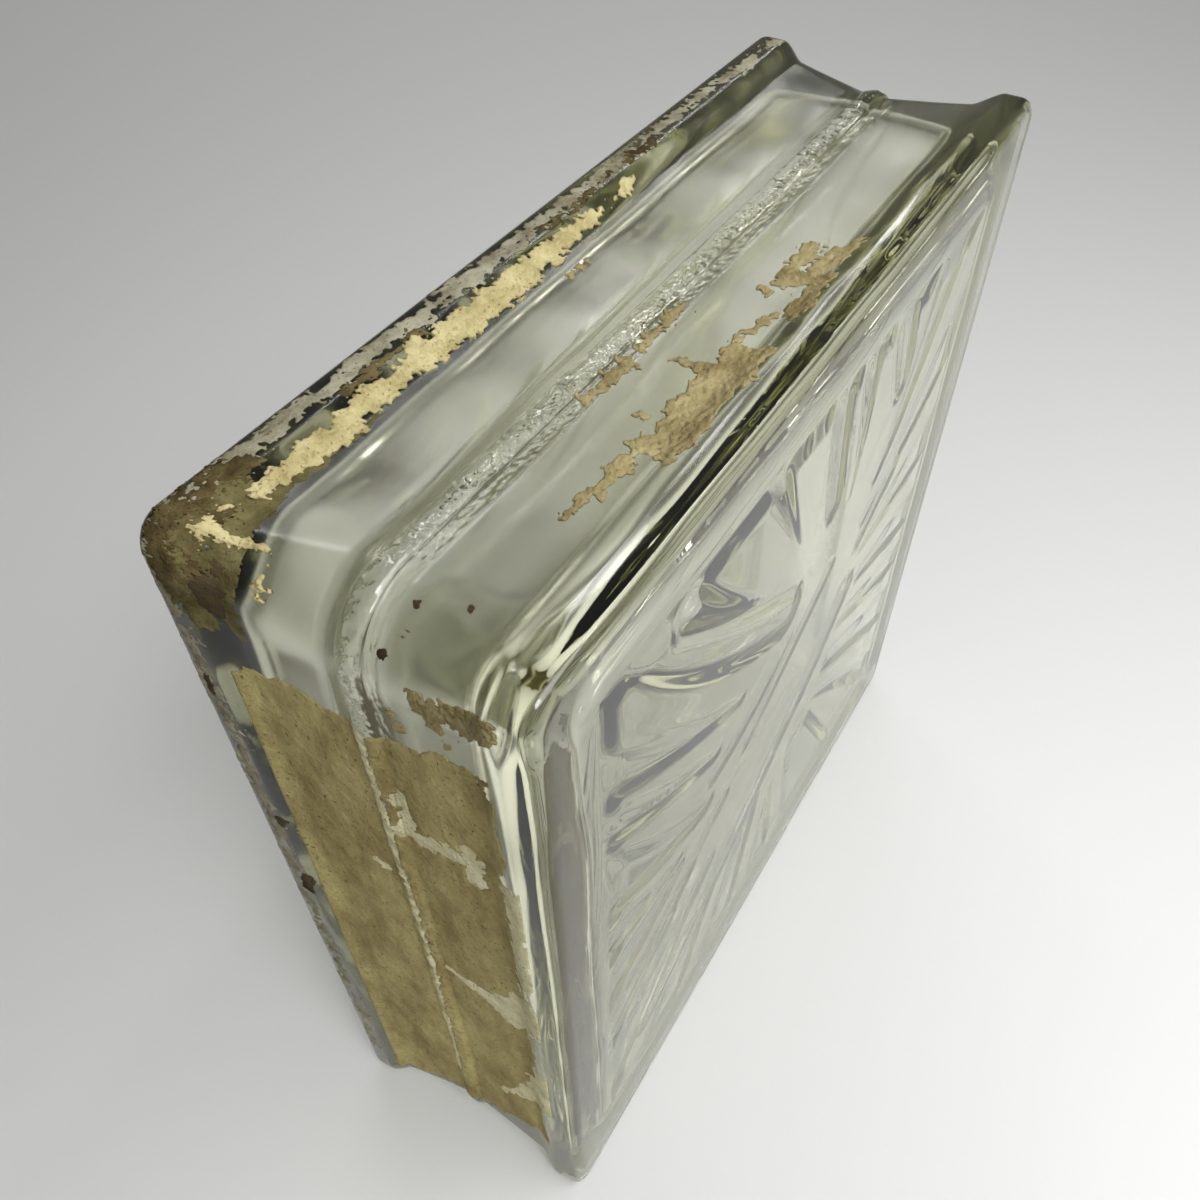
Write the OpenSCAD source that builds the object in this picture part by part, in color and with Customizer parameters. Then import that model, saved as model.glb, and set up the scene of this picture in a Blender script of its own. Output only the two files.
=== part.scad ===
// Hollow glass building block, standing on one edge.
// Two pressed glass trays meet face to face at the seam. Each tray has a thick
// patterned face, a lip round the face, and a side wall that is set back from
// the lip, so that a channel for the mortar runs round the finished block.
// X is the block's width, Y its thickness, and Z is up from the edge it stands on.

/* [Block] */
// Width and height of the square face
face_size = 240; // [140:1:300]
// Thickness of the block over both faces
thickness = 80; // [60:1:120]

/* [Lip] */
// Width of the lip, from the face to the start of the channel
lip_width = 8; // [5:0.5:12]
// Rounding of the lip's outer edge, where it meets the face
lip_round = 3.5; // [1:0.5:4.5]
// Corner radius of the lip, seen on the face
lip_corner = 7; // [5:0.5:12]

/* [Mortar channel] */
// Depth of the channel beside the bead, below the lip
channel_depth = 4; // [2.5:0.25:7]
// Depth that the shoulder beside the lip drops at once
shoulder_depth = 2.4; // [1:0.1:2.5]
// Width of the shoulder
shoulder_width = 7.5; // [4:0.5:10]
// Corner radius of the channel beside the bead
channel_corner = 15; // [10:0.5:20]

/* [Seam bead] */
// Width of the bead of squeezed glass over the seam
bead_width = 6; // [3:0.5:8]
// Height of the bead above the channel
bead_height = 1.2; // [0.5:0.1:2]

/* [Glass walls] */
// Thickness of the glass in each face
face_wall = 9.5; // [6:0.5:14]
// Thickness of the side wall at the seam
seam_wall = 6; // [4:0.5:9]
// Extra thickness that the side wall gains from the seam to the face
wall_draft = 2.5; // [0:0.5:4]
// Rounding inside, between the side wall and the face
hollow_fillet = 8; // [3:0.5:10]
// Corner radius of the hollow at the seam
hollow_corner = 14; // [13:0.5:24]

/* [Smoothness] */
// Steps round each corner
corner_steps = 10; // [4:1:16]
// Steps across each rounding of the section
curve_steps = 6; // [3:1:10]

/* [Hidden] */

half_depth = thickness / 2;
shoulder_end = lip_width + shoulder_width;
bead_start = half_depth - bead_width / 2;
seam_inset = channel_depth + seam_wall;
fillet_start = face_wall + hollow_fillet;

// A section point is [distance in from the face, inset from the lip, corner radius].

// Share of the way that the channel has run from the lip to the bead
function channel_run(depth) = (depth - lip_width) / (bead_start - lip_width);

// S-shaped drop of the shoulder, as a share of its whole depth
function shoulder_run(depth) =
    let (t = min(1, (depth - lip_width) / shoulder_width)) t * t * (3 - 2 * t);

function channel_inset(depth) =
    shoulder_depth * shoulder_run(depth)
    + (channel_depth - shoulder_depth) * channel_run(depth);

function channel_point(depth) = [
    depth,
    channel_inset(depth),
    lip_corner + (channel_corner - lip_corner) * channel_run(depth)
];

// Quarter round from the face to the lip's flat rim
lip_section = [for (i = [0:curve_steps]) let (a = 90 * i / curve_steps) [
    lip_round * (1 - cos(a)),
    lip_round * (1 - sin(a)),
    lip_corner - lip_round * (1 - sin(a))
]];

// Shoulder, then the long, almost flat floor of the channel
channel_section = [
    for (i = [0:curve_steps]) channel_point(lip_width + shoulder_width * i / curve_steps),
    for (i = [1:curve_steps]) channel_point(shoulder_end + (bead_start - shoulder_end) * i / curve_steps)
];

// Half of the round bead, up to the seam
bead_section = [for (i = [1:curve_steps]) let (a = 90 * i / curve_steps) [
    half_depth - bead_width / 2 * cos(a),
    channel_depth - bead_height * sin(a),
    channel_corner + bead_height * sin(a)
]];

// Inside of the side wall from the seam, then round on to the back of the face
hollow_section = [
    [half_depth, seam_inset, hollow_corner],
    for (i = [0:curve_steps]) let (a = 90 * i / curve_steps) [
        fillet_start - hollow_fillet * sin(a),
        seam_inset + wall_draft + hollow_fillet * (1 - cos(a)),
        hollow_corner - hollow_fillet * (1 - cos(a))
    ]
];

tray_section = concat(lip_section, channel_section, bead_section, hollow_section);

// One rounded square round the tray, for one point of the section
function ring(point) = [
    for (k = [0:3], i = [0:corner_steps])
        let (
            turn = 90 * k + 90 * i / corner_steps,
            side_x = k == 0 || k == 3 ? 1 : -1,
            side_z = k < 2 ? 1 : -1,
            reach = face_size / 2 - point[1] - point[2]
        ) [
            side_x * reach + point[2] * cos(turn),
            point[0] - half_depth,
            face_size / 2 + side_z * reach + point[2] * sin(turn)
        ]
];

// Closed solid through a row of rings, each with the same number of points
module loft(section) {
    ring_size = 4 * (corner_steps + 1);
    last = len(section) - 1;
    polyhedron(
        points = [for (point = section) each ring(point)],
        faces = [
            [for (i = [ring_size - 1:-1:0]) i],
            for (j = [0:last - 1], i = [0:ring_size - 1])
                let (next = (i + 1) % ring_size)
                [j * ring_size + i, j * ring_size + next,
                 (j + 1) * ring_size + next, (j + 1) * ring_size + i],
            [for (i = [0:ring_size - 1]) last * ring_size + i]
        ]
    );
}

module front_half() {
    color([0.80, 0.84, 0.80, 0.6]) loft(tray_section);
}

module back_half() {
    color([0.72, 0.76, 0.70, 0.6]) mirror([0, 1, 0]) loft(tray_section);
}

front_half();
back_half();
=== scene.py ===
import math

import bmesh
import bpy
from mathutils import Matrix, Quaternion, Vector, noise


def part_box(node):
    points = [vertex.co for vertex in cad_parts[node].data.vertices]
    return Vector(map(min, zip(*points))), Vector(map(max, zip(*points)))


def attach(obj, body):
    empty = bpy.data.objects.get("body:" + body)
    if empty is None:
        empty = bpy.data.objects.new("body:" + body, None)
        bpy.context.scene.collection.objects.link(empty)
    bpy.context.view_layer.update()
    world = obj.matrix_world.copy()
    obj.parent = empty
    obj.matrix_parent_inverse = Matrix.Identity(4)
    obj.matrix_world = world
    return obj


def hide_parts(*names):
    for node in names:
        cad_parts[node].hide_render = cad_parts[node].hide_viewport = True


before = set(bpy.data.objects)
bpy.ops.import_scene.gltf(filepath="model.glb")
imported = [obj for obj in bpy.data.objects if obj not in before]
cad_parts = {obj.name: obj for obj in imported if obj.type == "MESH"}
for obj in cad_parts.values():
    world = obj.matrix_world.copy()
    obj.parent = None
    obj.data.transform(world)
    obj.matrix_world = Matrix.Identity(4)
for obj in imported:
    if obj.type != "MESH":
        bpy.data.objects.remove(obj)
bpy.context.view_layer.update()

# ---- Glass body: outer skin ----------------------------------------------------
# Two trays of clear soda glass are pressed in the same mould and fused at the seam
# while hot, so the finished block is one hollow body. Outside it has smooth faces,
# a thick lip round each, and between the lips the mortar channel with the seam bead.
MM = 0.001
front_low, front_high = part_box("front_half")
back_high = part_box("back_half")[1]
HALF_FACE = (front_high.x - front_low.x) / 2
THICKNESS = back_high.y - front_low.y
HALF_DEPTH = THICKNESS / 2
MIDDLE = Vector(((front_low.x + front_high.x) / 2, 0, (front_low.z + front_high.z) / 2))

LIP_WIDTH = 8 * MM
LIP_ROUND = 3.5 * MM
LIP_CORNER = 7 * MM
CHANNEL_DEPTH = 4 * MM
SHOULDER_DEPTH = 2.4 * MM
SHOULDER_WIDTH = 7.5 * MM
CHANNEL_CORNER = 15 * MM
BEAD_WIDTH = 6 * MM
BEAD_HEIGHT = 1.2 * MM
BEAD_START = HALF_DEPTH - BEAD_WIDTH / 2

CRINKLE = 0.65 * MM
CRINKLE_RATE = 0.6
SKIN_WAVE = 0.4 * MM
SLOW_WAVE_RATE = 0.035
QUICK_WAVE_RATE = 0.11
QUICK_WAVE_SHARE = 0.25
SHOULDER_SWELL = 0.45 * MM
SHOULDER_SWELL_RATE = 0.042
SHOULDER_MIDDLE = 10 * MM
SHOULDER_REACH = 2 * MM
SKIN_SIDE = 112
SKIN_ARC = 8
RIM_BEFORE_SHOULDER = 0.6 * MM
FACE_FLAT = 1 * MM

# Where the glass is hazy, and where old grime sits in the back lip
GROOVE_HAZE = 5 * MM
LIP_HAZE = 0.9
BEAD_CLEAR = 0.9
GRIME_START = 25 * MM
GRIME_FADE = 4 * MM
GRIME_LEAST = 0.4
GRIME_AT_CORNER = 1.2
GRIME_FALL = 1.4
WAVE_START = 0.8


def outline(step, side_steps, arc_steps, inset, corner):
    """A rounded square's point, counted clockwise from the middle of the upper left corner."""
    side, place = divmod(step, side_steps)
    reach = HALF_FACE - inset - corner
    straight = side_steps - 2 * arc_steps
    if place < arc_steps:
        turn = math.radians(135 - 45 * place / arc_steps)
        x, z = corner * math.cos(turn) - reach, corner * math.sin(turn) + reach
    elif place <= side_steps - arc_steps:
        x, z = reach * (2 * (place - arc_steps) / straight - 1), reach + corner
    else:
        turn = math.radians(90 - 45 * (place - straight - arc_steps) / arc_steps)
        x, z = corner * math.cos(turn) + reach, corner * math.sin(turn) + reach
    return [(x, z), (z, -x), (-x, -z), (-z, x)][int(side) % 4]


def section(depth):
    """Inset from the lip and corner radius of the skin, at a distance from the front face."""
    near = min(depth, THICKNESS - depth)
    if near < LIP_WIDTH:
        rise = max(0, LIP_ROUND - near)
        inset = LIP_ROUND - math.sqrt(LIP_ROUND ** 2 - rise ** 2)
        return inset, LIP_CORNER - inset
    if near > BEAD_START:
        bead = BEAD_HEIGHT * math.sqrt(max(0, 1 - ((HALF_DEPTH - near) / (BEAD_WIDTH / 2)) ** 2))
        return CHANNEL_DEPTH - bead, CHANNEL_CORNER + bead
    drop = min(1, (near - LIP_WIDTH) / SHOULDER_WIDTH)
    run = (near - LIP_WIDTH) / (BEAD_START - LIP_WIDTH)
    inset = SHOULDER_DEPTH * drop * drop * (3 - 2 * drop) + (CHANNEL_DEPTH - SHOULDER_DEPTH) * run
    return inset, LIP_CORNER + (CHANNEL_CORNER - LIP_CORNER) * run


def ripple(x, z, depth):
    """How far the skin stands out: the bead's crinkle, and slow waves in channel and shoulder."""
    near = min(depth, THICKNESS - depth)
    spot = Vector((x, depth, z)) / MM
    bead = max(0, 1 - abs(depth - HALF_DEPTH) / (BEAD_WIDTH / 2))
    crinkle = CRINKLE * noise.noise(spot * CRINKLE_RATE) * math.sqrt(bead)
    quick = QUICK_WAVE_SHARE * noise.noise(spot * QUICK_WAVE_RATE)
    wave = SKIN_WAVE * (noise.noise(spot * SLOW_WAVE_RATE) + quick)
    wave *= min(1, max(0, near / LIP_WIDTH - WAVE_START))
    on_shoulder = math.exp(-((near - SHOULDER_MIDDLE) / SHOULDER_REACH) ** 2)
    swell = SHOULDER_SWELL * noise.noise(spot * SHOULDER_SWELL_RATE + Vector((0, 7, 0))) * on_shoulder
    return crinkle + wave + swell


def skin_point(step, depth, lift=0):
    """The skin's point at a step round the block, raised by lift."""
    inset, corner = section(depth)
    out = ripple(*outline(step, SKIN_SIDE, SKIN_ARC, inset, corner), depth) + lift
    x, z = outline(step, SKIN_SIDE, SKIN_ARC, inset - out, corner + out)
    return MIDDLE + Vector((x, depth - HALF_DEPTH, z))


def draw_out(bm, edges, step_layer, place):
    """Extrudes a ring, puts its new vertices where place says, and returns its new edges."""
    drawn = bmesh.ops.extrude_edge_only(bm, edges=edges)["geom"]
    for vert in (part for part in drawn if isinstance(part, bmesh.types.BMVert)):
        vert.co = place(vert[step_layer])
    return [part for part in drawn if isinstance(part, bmesh.types.BMEdge)]


def skin_depths():
    """Distances from a face at which the skin has a ring, up to the seam."""
    rounding = [LIP_ROUND * (1 - math.cos(math.radians(15 * i))) for i in range(7)]
    rim = [LIP_WIDTH - RIM_BEFORE_SHOULDER]
    shoulder = [LIP_WIDTH + SHOULDER_WIDTH * i / 8 for i in range(9)]
    start = shoulder[-1]
    channel = [start + (BEAD_START - start) * i / 5 for i in range(1, 6)]
    bead = [HALF_DEPTH - BEAD_WIDTH / 2 * math.cos(math.radians(15 * i)) for i in range(1, 7)]
    return rounding + rim + shoulder + channel + bead


body = bmesh.new()
step_layer = body.verts.layers.int.new("step")
haze_layer = body.verts.layers.float.new("haze")
grime_layer = body.verts.layers.float.new("grime")
bmesh.ops.create_circle(body, cap_ends=True, segments=4 * SKIN_SIDE, radius=HALF_FACE)
body.verts.ensure_lookup_table()
for i, vert in enumerate(body.verts):
    vert[step_layer] = i
    x, z = outline(i, SKIN_SIDE, SKIN_ARC, LIP_ROUND + FACE_FLAT, LIP_CORNER - LIP_ROUND)
    vert.co = MIDDLE + Vector((x, -HALF_DEPTH, z))
depths = skin_depths()
depths += [THICKNESS - depth for depth in reversed(depths[:-1])]
edges = body.edges[:]
for depth in depths:
    edges = draw_out(body, edges, step_layer, lambda step: skin_point(step, depth))


def back_rim(step):
    x, z = outline(step, SKIN_SIDE, SKIN_ARC, LIP_ROUND + FACE_FLAT, LIP_CORNER - LIP_ROUND)
    return MIDDLE + Vector((x, HALF_DEPTH, z))


edges = draw_out(body, edges, step_layer, back_rim)
bmesh.ops.contextual_create(body, geom=edges)
for vert in body.verts:
    near = HALF_DEPTH - abs(vert.co.y)
    on_bead = max(0, 1 - abs(vert.co.y) / (BEAD_WIDTH / 2))
    lip_haze = LIP_HAZE if vert.co.y > 0 and near > LIP_ROUND / 2 else 0
    groove_haze = min(1, (near - GROOVE_HAZE) / GROOVE_HAZE)
    vert[haze_layer] = max(lip_haze, groove_haze) * (1 - BEAD_CLEAR * on_bead)
    off_corner = math.hypot(vert.co.x + HALF_FACE, vert.co.z - 2 * HALF_FACE) / HALF_FACE
    on_back_lip = 0
    if near > LIP_ROUND / 4:
        on_back_lip = min(1, max(0, (vert.co.y - GRIME_START) / GRIME_FADE))
    vert[grime_layer] = on_back_lip * max(GRIME_LEAST, GRIME_AT_CORNER - GRIME_FALL * off_corner)
skin_faces = set(body.faces)

# ---- Glass body: hollow --------------------------------------------------------
# The plunger leaves a side wall with a large fillet, and presses petals into the back
# of each face: shallow scoops from near the middle out to the border. Both trays come
# from the same plunger, so the back one has them turned round.
FACE_WALL = 9.5 * MM
SEAM_WALL = 6 * MM
WALL_DRAFT = 2.5 * MM
FILLET = 8 * MM
HOLLOW_CORNER = 14 * MM
INNER_BEAD = 1.2 * MM
WALL_WAVE = 1.2 * MM
WALL_WAVE_LENGTH = 26 * MM
FLOOR_INSET = CHANNEL_DEPTH + SEAM_WALL + WALL_DRAFT + FILLET
FLOOR_CORNER = HOLLOW_CORNER - FILLET
FLOOR_SIDE = 166
FLOOR_ARC = 8
PETAL_DEPTH = 1.25 * MM
PETAL_FADE = 9 * MM
PETAL_SIDE = 6
RIDGE_ROUND = 0.15
WELD = 0.02 * MM

# Each petal's inner end, outer end, half width at each, and how far its middle bows to the
# left of the way out, all in mm from the middle of the face, and its depth at each end
PETALS = [
    (-10, 40, -86, 102, 9, 9, 6, 0.8, 0.6), (-22, 58, -66, 92, 2, 8, 2, 0.3, 1.3),
    (-6, 55, -32, 104, 1, 7, 0, 0.4, 1.1), (12, 59, 3, 106, 6, 7, 0, 0.8, 0.9),
    (24, 52, 20, 106, 2, 8, -2, 0.3, 1.2), (51, 72, 40, 106, 7, 9, 0, 0.8, 0.9),
    (46, 44, 78, 106, 4, 13, -4, 0.4, 1.2), (44, 30, 108, 72, 4, 14, -3, 0.5, 1.1),
    (48, 16, 108, 26, 4, 14, 0, 0.3, 0.8), (52, 0, 108, -8, 4, 12, 0, 0.6, 1.2),
    (40, -10, 108, -31, 4, 10, -1, 0.3, 0.8), (36, -26, 108, -58, 5, 12, -1, 0.6, 1.2),
    (29, -36, 108, -98, 2.5, 10, 2, 0.3, 0.8), (21, -50, 44, -108, 11, 24, 0, 0.7, 1.2),
    (0, -52, 0, -108, 3, 12, 0, 0.4, 0.8), (-14, -46, -36, -108, 6, 14, 0, 0.6, 1.1),
    (-30, -42, -74, -108, 5, 15, -3, 0.5, 0.9), (-44, -34, -108, -80, 5, 14, -2, 0.6, 1.1),
    (-56, -20, -108, -44, 4, 11, 0, 0.4, 0.8), (-64, -8, -108, -14, 4, 12, 2, 0.7, 1.1),
    (-64, -3, -108, 14, 3, 7, 2, 0.6, 1.2), (-49, 3, -108, 44, 4, 14, 4, 0.6, 0.9),
    (-46, 22, -108, 66, 3, 7, 3, 0.4, 1.1), (-34, 31, -106, 84, 3, 9, 4, 0.4, 0.6),
]
# Narrow folds that cross the middle and the lower left, given in the same way
FOLDS = [
    (-27, 3, 19, 30, 3, 4, 0, 0.9, 1), (-46, 13, -5, 25, 4, 2.5, -3, 1.1, 0.6),
    (38, 4, 2, -26, 8, 6, 2, 1, 1), (2, -26, -78, -74, 6, 6, 3, 1, 1.2),
    (-64, -21, -38, -8, 2.5, 3.5, 0, 1.2, 1), (-102, -49, -66, -30, 4, 3, 0, 1.2, 1.1),
    (42, 20, 62, 36, 3, 7, 0, 0.9, 1),
]


def scoop(x, z):
    """How deep the petals are pressed at a point of the floor, as a share of PETAL_DEPTH."""
    deepest = [0, 0]
    for petal in PETALS + FOLDS:
        inner_x, inner_z, outer_x, outer_z, inner_half, outer_half, bow, inner_deep, outer_deep = petal
        axis_x, axis_z = outer_x - inner_x, outer_z - inner_z
        length = math.hypot(axis_x, axis_z)
        away_x, away_z = x - inner_x, z - inner_z
        share = min(1, max(0, (away_x * axis_x + away_z * axis_z) / length ** 2))
        shift = 4 * bow * share * (1 - share) / length
        off_x = away_x - axis_x * share + axis_z * shift
        off_z = away_z - axis_z * share - axis_x * shift
        half = inner_half + (outer_half - inner_half) * share
        rise = min(1, (half - math.hypot(off_x, off_z)) / PETAL_SIDE)
        if rise > 0:
            deep = inner_deep + (outer_deep - inner_deep) * share
            deepest.append(rise * rise * (3 - 2 * rise) * deep)
    first, second = sorted(deepest)[-2:]
    gap = max(0, RIDGE_ROUND - (first - second))
    return first + gap * gap / (4 * RIDGE_ROUND)


def floor_place(i, j):
    """A grid point of the floor, spread between the four sides of its outline."""
    u, v = i / FLOOR_SIDE, j / FLOOR_SIDE

    def rim(step):
        return Vector(outline(step, FLOOR_SIDE, FLOOR_ARC, FLOOR_INSET, FLOOR_CORNER))

    top, bottom = rim(i), rim(3 * FLOOR_SIDE - i)
    right, left = rim(2 * FLOOR_SIDE - j), rim(3 * FLOOR_SIDE + j)
    across = left * (1 - u) + right * u
    up = bottom * (1 - v) + top * v
    low = rim(3 * FLOOR_SIDE) * (1 - u) + rim(2 * FLOOR_SIDE) * u
    high = rim(0) * (1 - u) + rim(FLOOR_SIDE) * u
    return across + up - low * (1 - v) - high * v


def press_floor(bm, side):
    """Adds one face's patterned floor, side -1 in front and 1 behind, and returns its rim edges."""
    rows = bmesh.ops.create_grid(bm, x_segments=FLOOR_SIDE, y_segments=FLOOR_SIDE, size=1)["verts"]
    border = HALF_FACE - FLOOR_INSET
    for number, vert in enumerate(rows):
        j, i = divmod(number, FLOOR_SIDE + 1)
        x, z = floor_place(i, j)
        fade = min(1, max(0, (border - max(abs(x), abs(z))) / PETAL_FADE))
        fade = fade * fade * (3 - 2 * fade)
        relief = PETAL_DEPTH * fade * (scoop(-side * x / MM, z / MM) - 0.5)
        if i in (0, FLOOR_SIDE) or j in (0, FLOOR_SIDE):
            relief = 0
        vert.co = MIDDLE + Vector((x, side * (HALF_DEPTH - FACE_WALL + relief), z))
        if j == FLOOR_SIDE:
            vert[step_layer] = i
        elif i == FLOOR_SIDE:
            vert[step_layer] = 2 * FLOOR_SIDE - j
        elif j == 0:
            vert[step_layer] = 3 * FLOOR_SIDE - i
        elif i == 0:
            vert[step_layer] = 3 * FLOOR_SIDE + j
    return list({edge for vert in rows for edge in vert.link_edges if len(edge.link_faces) == 1})


def wall_rings():
    """Distance from the near face, inset and corner radius of the wall's rings, up to the seam."""
    wall_inset = CHANNEL_DEPTH + SEAM_WALL
    fillet_end = FACE_WALL + FILLET
    rings = []
    for i in range(1, 8):
        turn = math.radians(90 - 90 * i / 7)
        fall = FILLET * (1 - math.cos(turn))
        depth = fillet_end - FILLET * math.sin(turn)
        rings.append((depth, wall_inset + WALL_DRAFT + fall, HOLLOW_CORNER - fall))
    for share in (0.45, 0.85, 0.9, 0.95, 1):
        depth = fillet_end + (HALF_DEPTH - fillet_end) * share
        swell = INNER_BEAD * math.sqrt(max(0, 1 - ((HALF_DEPTH - depth) / (BEAD_WIDTH / 2)) ** 2))
        rings.append((depth, wall_inset + WALL_DRAFT * (1 - share) + swell, HOLLOW_CORNER - swell))
    return rings


def wall_point(step, depth, inset, corner):
    x, z = outline(step, FLOOR_SIDE, FLOOR_ARC, inset, corner)
    wave = WALL_WAVE * noise.noise(Vector((x, depth, z)) / WALL_WAVE_LENGTH)
    x, z = outline(step, FLOOR_SIDE, FLOOR_ARC, inset + wave, corner - wave)
    return MIDDLE + Vector((x, depth - HALF_DEPTH, z))


edges = press_floor(body, -1)
rings = wall_rings()
rings += [(THICKNESS - depth, inset, corner) for depth, inset, corner in reversed(rings[:-1])]
for depth, inset, corner in rings:
    edges = draw_out(body, edges, step_layer, lambda step: wall_point(step, depth, inset, corner))


def back_floor_rim(step):
    x, z = outline(step, FLOOR_SIDE, FLOOR_ARC, FLOOR_INSET, FLOOR_CORNER)
    return MIDDLE + Vector((x, HALF_DEPTH - FACE_WALL, z))


draw_out(body, edges, step_layer, back_floor_rim)
press_floor(body, 1)
bmesh.ops.remove_doubles(body, verts=body.verts, dist=WELD)
bmesh.ops.recalc_face_normals(body, faces=body.faces)
bmesh.ops.reverse_faces(body, faces=[face for face in body.faces if face not in skin_faces])


def finish_mesh(bm, name, material):
    """Turns a bmesh into a smooth piece with one material, riding on the block."""
    for face in bm.faces:
        face.smooth = True
    mesh = bpy.data.meshes.new(name)
    bm.to_mesh(mesh)
    bm.free()
    mesh.materials.append(material)
    piece = bpy.data.objects.new(name, mesh)
    bpy.context.scene.collection.objects.link(piece)
    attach(piece, "root")
    return piece


def node(material, kind, **values):
    """Adds a shader node and sets its sockets, given by name with _ for a space."""
    made = material.node_tree.nodes.new(kind)
    for name, value in values.items():
        made.inputs[name.replace("_", " ")].default_value = value
    return made


def start_material(name):
    """An empty node material with its output, and its link function."""
    material = bpy.data.materials.new(name)
    material.use_nodes = True
    material.node_tree.nodes.clear()
    output = material.node_tree.nodes.new("ShaderNodeOutputMaterial")
    return material, output, material.node_tree.links.new


def clear_glass():
    material, output, link = start_material("clear_glass")
    shader = node(material, "ShaderNodeBsdfPrincipled", IOR=1.52, Transmission_Weight=1)
    place = node(material, "ShaderNodeTexCoord")
    dirt = node(material, "ShaderNodeTexNoise", Scale=75, Detail=2, Roughness=0.65)
    patches = node(material, "ShaderNodeMapRange", From_Min=0.38, From_Max=0.62, To_Min=0.1)
    on_lip = node(material, "ShaderNodeAttribute")
    on_lip.attribute_name = "grime"
    dirty = node(material, "ShaderNodeMath")
    dirty.operation = "MULTIPLY"
    stained = node(material, "ShaderNodeMix")
    stained.data_type = "RGBA"
    stained.inputs["A"].default_value = (0.98, 0.985, 0.97, 1)
    stained.inputs["B"].default_value = (0.45, 0.38, 0.24, 1)
    link(place.outputs["Object"], dirt.inputs["Vector"])
    link(dirt.outputs["Fac"], patches.inputs["Value"])
    link(patches.outputs["Result"], dirty.inputs[0])
    link(on_lip.outputs["Fac"], dirty.inputs[1])
    link(dirty.outputs["Value"], stained.inputs["Factor"])
    link(stained.outputs["Result"], shader.inputs["Base Color"])
    cloud = node(material, "ShaderNodeTexNoise", Scale=18, Detail=1, Roughness=0.6)
    haze_range = {"From_Min": 0.3, "From_Max": 0.7, "To_Min": 0.15, "To_Max": 0.235}
    thickness = node(material, "ShaderNodeMapRange", **haze_range)
    channel = node(material, "ShaderNodeAttribute")
    channel.attribute_name = "haze"
    rough = node(material, "ShaderNodeMath")
    rough.operation = "MULTIPLY_ADD"
    rough.inputs[2].default_value = 0.02
    link(place.outputs["Object"], cloud.inputs["Vector"])
    link(cloud.outputs["Fac"], thickness.inputs["Value"])
    link(channel.outputs["Fac"], rough.inputs[0])
    link(thickness.outputs["Result"], rough.inputs[1])
    link(rough.outputs["Value"], shader.inputs["Roughness"])
    parts = node(material, "ShaderNodeSeparateXYZ")
    off_seam = node(material, "ShaderNodeMath")
    off_seam.operation = "ABSOLUTE"
    on_bead = node(material, "ShaderNodeMapRange", From_Min=0.0032, From_Max=0.0018)
    folds = node(material, "ShaderNodeTexNoise", Scale=420, Detail=1)
    fold_height = node(material, "ShaderNodeMath")
    fold_height.operation = "MULTIPLY"
    fine = node(material, "ShaderNodeBump", Strength=0.7, Distance=0.0008)
    link(place.outputs["Object"], parts.inputs["Vector"])
    link(parts.outputs["Y"], off_seam.inputs[0])
    link(off_seam.outputs["Value"], on_bead.inputs["Value"])
    link(place.outputs["Object"], folds.inputs["Vector"])
    link(on_bead.outputs["Result"], fold_height.inputs[0])
    link(folds.outputs["Fac"], fold_height.inputs[1])
    link(fold_height.outputs["Value"], fine.inputs["Height"])
    link(fine.outputs["Normal"], shader.inputs["Normal"])
    tint = node(material, "ShaderNodeVolumeAbsorption", Density=13.5)
    tint.inputs["Color"].default_value = (0.61, 0.62, 0, 1)
    link(shader.outputs["BSDF"], output.inputs["Surface"])
    link(tint.outputs["Volume"], output.inputs["Volume"])
    return material


glass_body = finish_mesh(body, "glass_body", clear_glass())
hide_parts("front_half", "back_half")

# ---- Mortar film on the left end -----------------------------------------------
# What is left of the mortar joint: a thin tan film that still sticks to the channel,
# from just under the corner down to the floor, ragged and scraped off in streaks.

# All distances on the edge are in mm: run goes from the middle of the upper left corner
# along the top, or below 0 down the end, and depth goes in from the front face.
CORNER_RUN = math.radians(45) * CHANNEL_CORNER / MM
STRAIGHT_RUN = 2 * (HALF_FACE - CHANNEL_DEPTH - CHANNEL_CORNER) / MM
EDGE_BUILD = 0.35
BUILD_RATE = 0.4
LUMP_RATE = 1.1
SUNK = 0.2


def step_at(run):
    """The skin's step at a run along the channel."""
    size = abs(run)
    if size < CORNER_RUN:
        return math.copysign(SKIN_ARC * size / CORNER_RUN, run)
    share = (size - CORNER_RUN) / STRAIGHT_RUN
    return math.copysign(SKIN_ARC + (SKIN_SIDE - 2 * SKIN_ARC) * share, run)


def covered(strokes, run, depth):
    """How far inside the nearest stroke a place is; each is (run, depth) twice and two radii."""
    deepest = -99
    for run_a, depth_a, run_b, depth_b, round_a, round_b in strokes:
        long, wide = run_b - run_a, depth_b - depth_a
        share = ((run - run_a) * long + (depth - depth_a) * wide) / max(0.01, long ** 2 + wide ** 2)
        share = min(1, max(0, share))
        away = math.hypot(run - run_a - long * share, depth - depth_a - wide * share)
        deepest = max(deepest, round_a + (round_b - round_a) * share - away)
    return deepest


def ragged(run, depth, size, seed):
    """Fractal noise of about -1 to 1, with features of about this size."""
    return 1.6 * noise.fractal(Vector((run / size, depth / size, seed)), 0.7, 2.2, 5)


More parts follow.
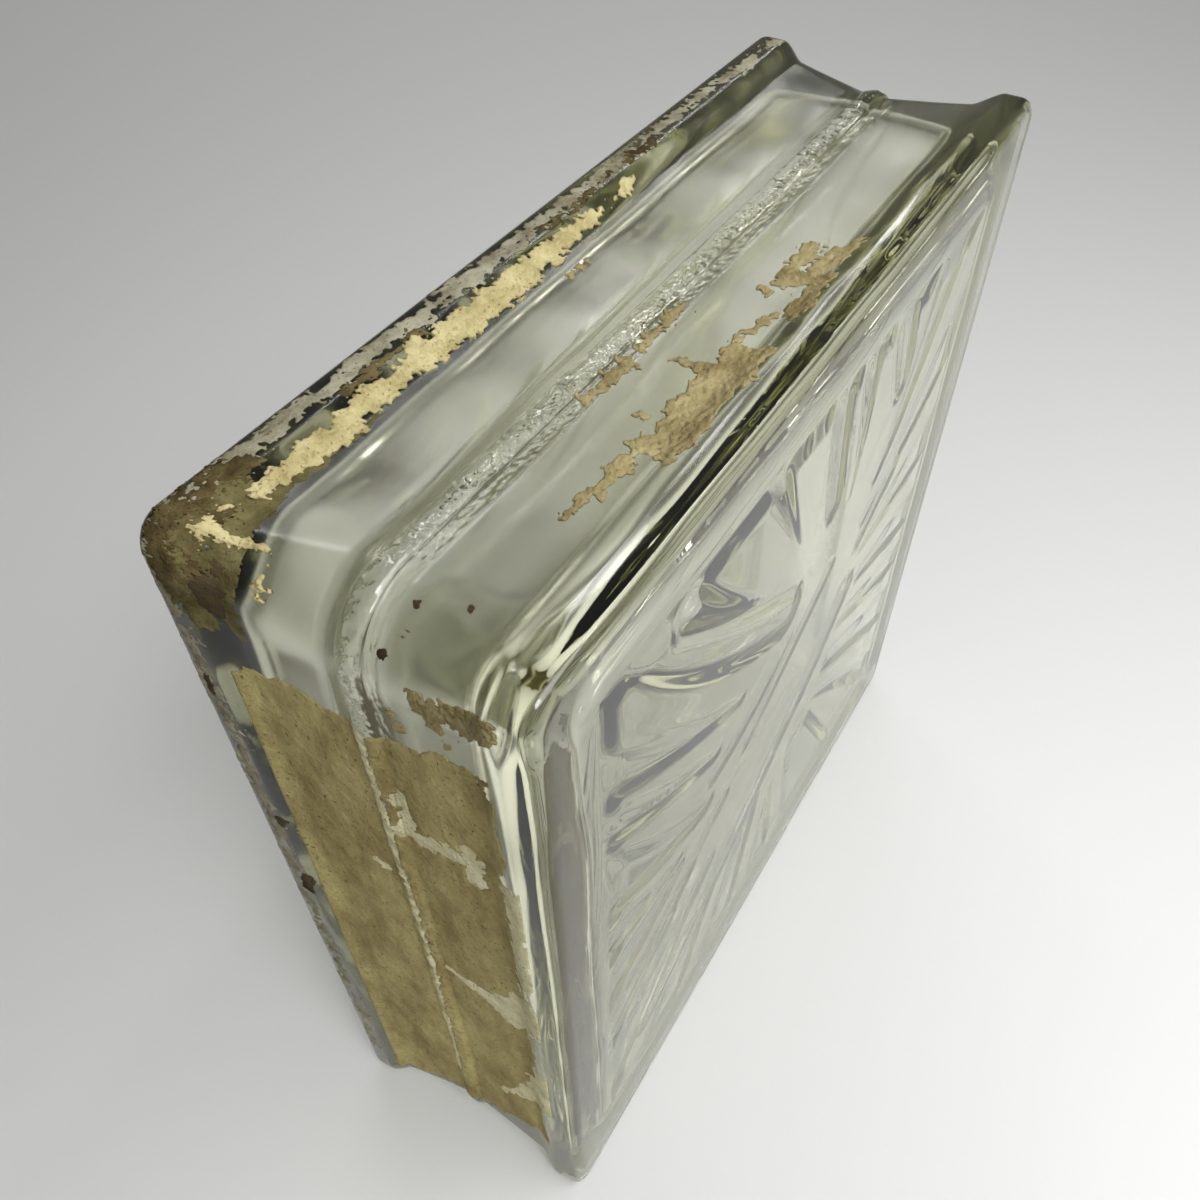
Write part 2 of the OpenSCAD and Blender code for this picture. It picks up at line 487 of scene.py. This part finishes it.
def residue(name, material, runs, depths, pitch, cover, height, grain):
    """A crust on the skin wherever cover is above 0, thinning out towards its edge."""
    bm = bmesh.new()
    long, wide = runs[1] - runs[0], depths[1] - depths[0]
    bmesh.ops.create_grid(bm, x_segments=round(long / pitch), y_segments=round(wide / pitch), size=0.5)
    for vert in bm.verts:
        vert.co = (runs[0] + long * (vert.co.x + 0.5), depths[0] + wide * (vert.co.y + 0.5), 0)
    bare = [face for face in bm.faces if cover(*face.calc_center_median().xy) <= 0]
    while bare:
        bmesh.ops.delete(bm, geom=bare, context="FACES")
        pinched = [vert for vert in bm.verts if sum(edge.is_boundary for edge in vert.link_edges) > 2]
        bare = list({face for vert in pinched for face in vert.link_faces})
    rim = [vert for vert in bm.verts if vert.is_boundary]
    bmesh.ops.smooth_vert(bm, verts=rim, factor=0.5, use_axis_x=True, use_axis_y=True)
    for vert in bm.verts:
        run, depth = vert.co.xy
        build = min(1, EDGE_BUILD + BUILD_RATE * max(0, cover(run, depth)))
        lumps = grain * noise.noise(Vector((run * LUMP_RATE, depth * LUMP_RATE, 5)))
        lift = height * build * (1 + lumps)
        vert.co = skin_point(step_at(run), depth * MM, lift * MM)
    bm.normal_update()
    bmesh.ops.solidify(bm, geom=bm.faces[:], thickness=(height + SUNK) * MM)
    bmesh.ops.recalc_face_normals(bm, faces=bm.faces)
    return finish_mesh(bm, name, material)


def dry_mortar(name, dark, light, speck, grain, streak=1):
    """A dull, dusty finish between two colours, with specks of a third; streak draws it out in z."""
    material, output, link = start_material(name)
    shader = node(material, "ShaderNodeBsdfPrincipled", Roughness=0.9, Specular_IOR_Level=0.1)
    place = node(material, "ShaderNodeTexCoord")
    cloud = node(material, "ShaderNodeTexNoise", Scale=grain * 0.12, Detail=6, Roughness=0.65)
    tones = node(material, "ShaderNodeMapRange", From_Min=0.35, From_Max=0.65)
    mixed = node(material, "ShaderNodeMix")
    mixed.data_type = "RGBA"
    mixed.inputs["A"].default_value = (*dark, 1)
    mixed.inputs["B"].default_value = (*light, 1)
    pits = node(material, "ShaderNodeTexNoise", Scale=grain, Detail=3, Roughness=0.7)
    where = node(material, "ShaderNodeMapRange", From_Min=0.60, From_Max=0.68)
    dotted = node(material, "ShaderNodeMix")
    dotted.data_type = "RGBA"
    dotted.inputs["B"].default_value = (*speck, 1)
    scales = node(material, "ShaderNodeTexNoise", Scale=grain * 0.35, Detail=5, Roughness=0.6)
    lumps = node(material, "ShaderNodeBump", Strength=0.8, Distance=0.0012)
    bump = node(material, "ShaderNodeBump", Strength=0.7, Distance=0.0004)
    drawn = node(material, "ShaderNodeMapping", Scale=(1, 1, streak))
    link(place.outputs["Object"], drawn.inputs["Vector"])
    link(drawn.outputs["Vector"], cloud.inputs["Vector"])
    link(place.outputs["Object"], pits.inputs["Vector"])
    link(place.outputs["Object"], scales.inputs["Vector"])
    link(scales.outputs["Fac"], lumps.inputs["Height"])
    link(lumps.outputs["Normal"], bump.inputs["Normal"])
    link(cloud.outputs["Fac"], tones.inputs["Value"])
    link(tones.outputs["Result"], mixed.inputs["Factor"])
    link(mixed.outputs["Result"], dotted.inputs["A"])
    link(pits.outputs["Fac"], where.inputs["Value"])
    link(where.outputs["Result"], dotted.inputs["Factor"])
    link(dotted.outputs["Result"], shader.inputs["Base Color"])
    link(pits.outputs["Fac"], bump.inputs["Height"])
    link(bump.outputs["Normal"], shader.inputs["Normal"])
    link(shader.outputs["BSDF"], output.inputs["Surface"])
    return material


SCRAPED = [
    (-58, 38, -57, 19, 2.2, 2.2), (-62, 20, -53, 21, 2.4, 1.6), (-58, 35.5, -43, 36, 1.5, 0.8),
    (-119, 36, -120, 22, 0.6, 3.2), (-121, 18, -111, 9, 5.5, 6), (-186, 26, -160, 9, 0.8, 5),
    (-172, 16, -146, 9, 1, 4), (-79, 49, -79, 46, 0.7, 1.2), (-98, 10, -60, 9, 1.5, 3),
]
BEAD_LINE = [
    (-27, 41.4, -78, 41, 1.2, 1.1), (-78, 40.3, -130, 39.8, 0.7, 0.5), (-130, 40.5, -193, 42.5, 0.6, 1),
]


def scraped_off(run, depth):
    edge = 1.2 * ragged(run, depth, 5, 2) + 0.7 * ragged(run, depth, 1.5, 11)
    return covered(SCRAPED, run, depth) + edge


def off_bead(run, depth):
    return covered(BEAD_LINE, run, depth) + 0.5 * ragged(run, depth, 4, 6)


def end_film_cover(run, depth):
    top_edge = -26 - 6 * max(0, (depth - 52) / 17) - run
    low_edge = run + 214 - 14 * max(0, (40 - depth) / 25)
    front_edge = depth - 11
    sides = min(top_edge, low_edge, front_edge) + 1.8 * ragged(run, depth, 9, 1)
    bare = max(scraped_off(run, depth), off_bead(run, depth))
    return min(sides, -bare, 69 - depth + 0.2 * ragged(run, depth, 20, 3))


film_colours = ((0.27, 0.21, 0.086), (0.49, 0.42, 0.188), (0.13, 0.10, 0.04))
tan_film = dry_mortar("tan_film", *film_colours, 900, 0.45)
residue("end_film", tan_film, (-220, -18), (6, 70), 0.55, end_film_cover, 0.25, 0.5)

# ---- Mortar patches in the channel ---------------------------------------------
# Thicker flakes of the same mortar, sandy and cracked. They sit in the front channel
# against the lip, beside the bead, and at the top of the left end.
FLAKES = [
    (38, 20.7, 50, 19.7, 0.3, 2), (50, 19.7, 60, 19.4, 2, 2.8), (61, 13, 92, 13, 3, 3),
    (66, 16, 90, 17, 4, 4.4), (66, 20, 66.5, 24, 1.3, 0.4), (84, 22, 84, 25, 2.5, 0.8),
    (95, 19, 106, 17, 0.9, 1.3), (108, 12.5, 121, 13.5, 2, 3.4), (118, 21, 133, 21, 2, 2.4),
    (120, 17, 139, 13, 3, 1.4), (113, 22.5, 114, 22.5, 1, 1.2), (64, 35, 78, 35, 1, 1.8),
    (84, 35, 100, 35.3, 1.5, 1.5), (-21, 20, -11, 25, 1.4, 2), (-13, 22, -12.5, 11, 3.2, 4),
    (-22, 32, -17, 32.3, 0.7, 1.1), (97, 60, 104, 60, 0.5, 1),
]


def flake_cover(run, depth):
    edge = 1.2 * ragged(run, depth, 6, 4) + 0.8 * ragged(run, depth, 1.8, 10)
    return covered(FLAKES, run, depth) + edge


sandy = dry_mortar("sandy_mortar", (0.24, 0.19, 0.085), (0.42, 0.355, 0.18), (0.15, 0.11, 0.045), 1100)
residue("channel_flakes", sandy, (-26, 144), (7, 62), 0.42, flake_cover, 0.45, 1.2)

# ---- Crust along the back lip --------------------------------------------------
# The thickest leftover: pale yellow, crumbly mortar that set in the groove beside the
# back lip, where a trowel or scraper doesn't reach.
CRUST = [
    (18, 67.3, 35, 66.3, 0.6, 2.6), (35, 66.3, 50, 67.3, 2.6, 2), (50, 67.3, 60, 67.2, 1.7, 1.2),
    (60, 67.2, 75, 67, 2.3, 2.9), (75, 67, 100, 67.2, 2.9, 2.4), (100, 67.3, 115, 67.6, 2.2, 1.3),
    (115, 67.6, 127, 67.5, 1.1, 0.2), (2, 68.3, 15, 68.8, 0.5, 0.9), (5.5, 65, 6.5, 59, 1.5, 0.7),
    (-5, 57.4, 3, 57, 0.5, 0.5), (130, 67.5, 136, 68, 0.4, 0.5),
]


def crust_cover(run, depth):
    edge = 0.2 + 1.2 * ragged(run, depth, 5, 5) + 0.6 * ragged(run, depth, 1.1, 9)
    return covered(CRUST, run, depth) + edge


pale = dry_mortar("pale_crust", (0.42, 0.35, 0.155), (0.68, 0.60, 0.325), (0.24, 0.175, 0.07), 1200)
residue("lip_crust", pale, (-8, 140), (55, 72), 0.36, crust_cover, 0.8, 1.2)

# ---- Lime on bead and scrapes --------------------------------------------------
# Cream lime, the finest part of the mortar. It stayed in the crinkles on the crest of the
# bead, and where the film above it was scraped off.
def lime_cover(run, depth):
    return max(off_bead(run, depth), scraped_off(run, depth)) + 0.8


lime = dry_mortar("cream_lime", (0.52, 0.475, 0.27), (0.84, 0.79, 0.52), (0.30, 0.25, 0.12), 1000)
residue("bead_lime", lime, (-200, -25), (7, 53), 0.5, lime_cover, 0.15, 0.5)

# ---- Dust on the back lip ------------------------------------------------------
# A grey, blotchy skin of cement dust that dried on the back lip, all along the top and
# down the end.
DUST = [(-200, 74.5, 20, 75, 1.5, 2.5), (20, 75, 218, 74, 3, 1.8)]


def dust_cover(run, depth):
    blotches = 1.5 * ragged(run / 2, depth, 5, 13) + 1.5 * ragged(run, depth, 1.6, 14)
    return covered(DUST, run, depth) - 0.4 + blotches


dusty = dry_mortar("lip_dust", (0.17, 0.145, 0.085), (0.44, 0.42, 0.31), (0.10, 0.075, 0.04), 900)
residue("back_lip_dust", dusty, (-202, 220), (69, 79), 0.5, dust_cover, 0.1, 0.5)

# ---- Stains and dark specks ----------------------------------------------------
# A brown stain of old bitumen and dirt on the back corner, a thin olive film round it,
# and drops on the edge. The olive film is partly dirt and partly painted light: its olive
# colour stands in for the lit glass of the lip, over a corner the glass leaves dark.
STAIN = [
    (-17, 73.5, 24, 73.5, 3, 2.6), (45, 71, 66, 71.5, 0.5, 0.8), (108, 72, 150, 73, 0.5, 1),
    (-3, 76, 14, 76, 1, 2), (-10, 68, 14, 69, 1.5, 0.5),
]
DROPS = [
    (-16, 67.5, -9, 66.5, 2, 2.6), (-5, 65.3, -2, 65, 0.9, 1), (-108, 72.7, -103, 71.6, 1.7, 1.8),
    (-82, 72.6, -80, 71.6, 0.9, 1.2), (-42, 75, -38, 75, 0.8, 1), (-190, 65, -187, 65, 0.7, 0.7),
    (-57, 59.6, -56, 59.4, 0.8, 0.7), (-4, 33, -3.6, 33, 0.7, 0.7), (1, 30, 2, 29.4, 0.5, 0.4),
    (7, 30.6, 9, 30, 0.8, 0.4), (13, 22, 13.4, 22, 0.4, 0.4), (-52, 54, -51, 53.6, 0.6, 0.6),
]


def stain_cover(run, depth):
    edge = 1.4 * ragged(run, depth, 5, 7) + 1.3 * ragged(run, depth, 1.3, 12)
    return covered(STAIN, run, depth) + edge


OLIVE = [
    (-20, 64.5, 0, 64.5, 1.5, 3.2), (0, 64.5, 16, 65, 3.2, 2), (-20, 70, 20, 70, 3, 3),
    (16, 66, 44, 64, 2, 0.5),
]


def olive_cover(run, depth):
    edge = 0.7 * ragged(run, depth, 6, 15) + 0.5 * ragged(run, depth, 1.5, 16)
    return covered(OLIVE, run, depth) + edge


def drop_cover(run, depth):
    return covered(DROPS, run, depth) + 0.5 * ragged(run, depth, 2.5, 8)


brown = dry_mortar("brown_stain", (0.06, 0.042, 0.016), (0.18, 0.14, 0.058), (0.035, 0.024, 0.01), 1300)
residue("corner_stain", brown, (-24, 156), (66, 79), 0.36, stain_cover, 0.22, 0.6)
# Olive film: partly dirt, partly painted light standing in for the lit olive glass at the corner
olive = dry_mortar("olive_film_and_painted_tone", (0.075, 0.06, 0.02), (0.20, 0.175, 0.075), (0.04, 0.03, 0.012), 1200)
residue("corner_film_and_painted_tone", olive, (-26, 48), (58, 76), 0.45, olive_cover, 0.08, 0.4)
tar = dry_mortar("dark_drops", (0.04, 0.028, 0.016), (0.09, 0.065, 0.035), (0.02, 0.015, 0.01), 700)
residue("dark_drops", tar, (-194, 16), (20, 78), 0.35, drop_cover, 0.3, 0.3)

# ---- Floor, light and camera ---------------------------------------------------
# A plain pale floor under the block, ceiling tubes and a soft key lamp above it, and a
# pale sky. The camera looks down on the upper left corner from close by.
bm = bmesh.new()
bmesh.ops.create_grid(bm, x_segments=1, y_segments=1, size=3)
floor_mesh = bpy.data.meshes.new("floor")
bm.to_mesh(floor_mesh)
bm.free()
floor = bpy.data.objects.new("floor", floor_mesh)
bpy.context.scene.collection.objects.link(floor)
paint, output, link = start_material("floor_paint")
shader = node(paint, "ShaderNodeBsdfPrincipled", Roughness=0.7)
shader.inputs["Base Color"].default_value = (0.72, 0.72, 0.72, 1)
link(shader.outputs["BSDF"], output.inputs["Surface"])
floor_mesh.materials.append(paint)

world = bpy.data.worlds.new("sky")
bpy.context.scene.world = world
world.use_nodes = True
sky_nodes = world.node_tree.nodes
direction = sky_nodes.new("ShaderNodeTexCoord")
height = sky_nodes.new("ShaderNodeSeparateXYZ")
tones = sky_nodes.new("ShaderNodeValToRGB")
tones.color_ramp.elements[0].position = 0.05
tones.color_ramp.elements[0].color = (0.37, 0.37, 0.33, 1)
tones.color_ramp.elements[1].position = 0.75
tones.color_ramp.elements[1].color = (0.55, 0.56, 0.53, 1)
world.node_tree.links.new(direction.outputs["Generated"], height.inputs["Vector"])
world.node_tree.links.new(height.outputs["Z"], tones.inputs["Fac"])
world.node_tree.links.new(tones.outputs["Color"], sky_nodes["Background"].inputs["Color"])
sky_nodes["Background"].inputs["Strength"].default_value = 0.46


def tube_lamp(name, place, length, width, power):
    """A ceiling lamp that shines straight down."""
    tube = bpy.data.lights.new(name, "AREA")
    tube.shape = "RECTANGLE"
    tube.size = length
    tube.size_y = width
    tube.energy = power
    lamp = bpy.data.objects.new(name, tube)
    lamp.location = place
    bpy.context.scene.collection.objects.link(lamp)


for i in range(5):
    tube_lamp(f"back_tube_{i + 1}", (0.65 + 0.58 * i, 0.87, 1.8), 0.26, 0.3, 2.4)
for i in range(3):
    tube_lamp(f"front_tube_{i + 1}", (0.3 + 1.2 * i, -0.45, 1.8), 1.1, 0.08, 1.05)

tube_lamp("front_fill", (-0.02, -0.34, 0.6), 0.4, 0.3, 2)

key = bpy.data.lights.new("key_lamp", "SPOT")
key.energy = 100
key.shadow_soft_size = 0.4
key.spot_size = math.radians(46)
key.spot_blend = 1
key_lamp = bpy.data.objects.new("key_lamp", key)
key_lamp.location = (-0.65, -1.1, 1.5)
key_lamp.rotation_mode = "QUATERNION"
key_lamp.rotation_quaternion = Vector((0.7, 0.85, -1.5)).to_track_quat("-Z", "Y")
bpy.context.scene.collection.objects.link(key_lamp)

CAMERA_PLACE = Vector((-0.19294, -0.09731, 0.3619))
CAMERA_AZIMUTH = math.radians(61.488)
CAMERA_FALL = math.radians(50.589)
CAMERA_ROLL = math.radians(-1.643)
look = Vector((
    math.sin(CAMERA_AZIMUTH) * math.cos(CAMERA_FALL),
    math.cos(CAMERA_AZIMUTH) * math.cos(CAMERA_FALL),
    -math.sin(CAMERA_FALL),
))
lens = bpy.data.cameras.new("camera")
lens.lens = 32.81
lens.sensor_width = 36
lens.shift_x = -0.038
lens.shift_y = 0.065
lens.clip_start = 0.01
camera = bpy.data.objects.new("camera", lens)
camera.location = CAMERA_PLACE
camera.rotation_mode = "QUATERNION"
camera.rotation_quaternion = Quaternion(look, CAMERA_ROLL) @ look.to_track_quat("-Z", "Y")
bpy.context.scene.collection.objects.link(camera)
bpy.context.scene.camera = camera
bpy.context.scene.view_settings.view_transform = "Standard"
bpy.context.scene.cycles.max_bounces = 16
bpy.context.scene.cycles.transmission_bounces = 16
bpy.context.scene.cycles.glossy_bounces = 6
bpy.context.scene.cycles.diffuse_bounces = 2
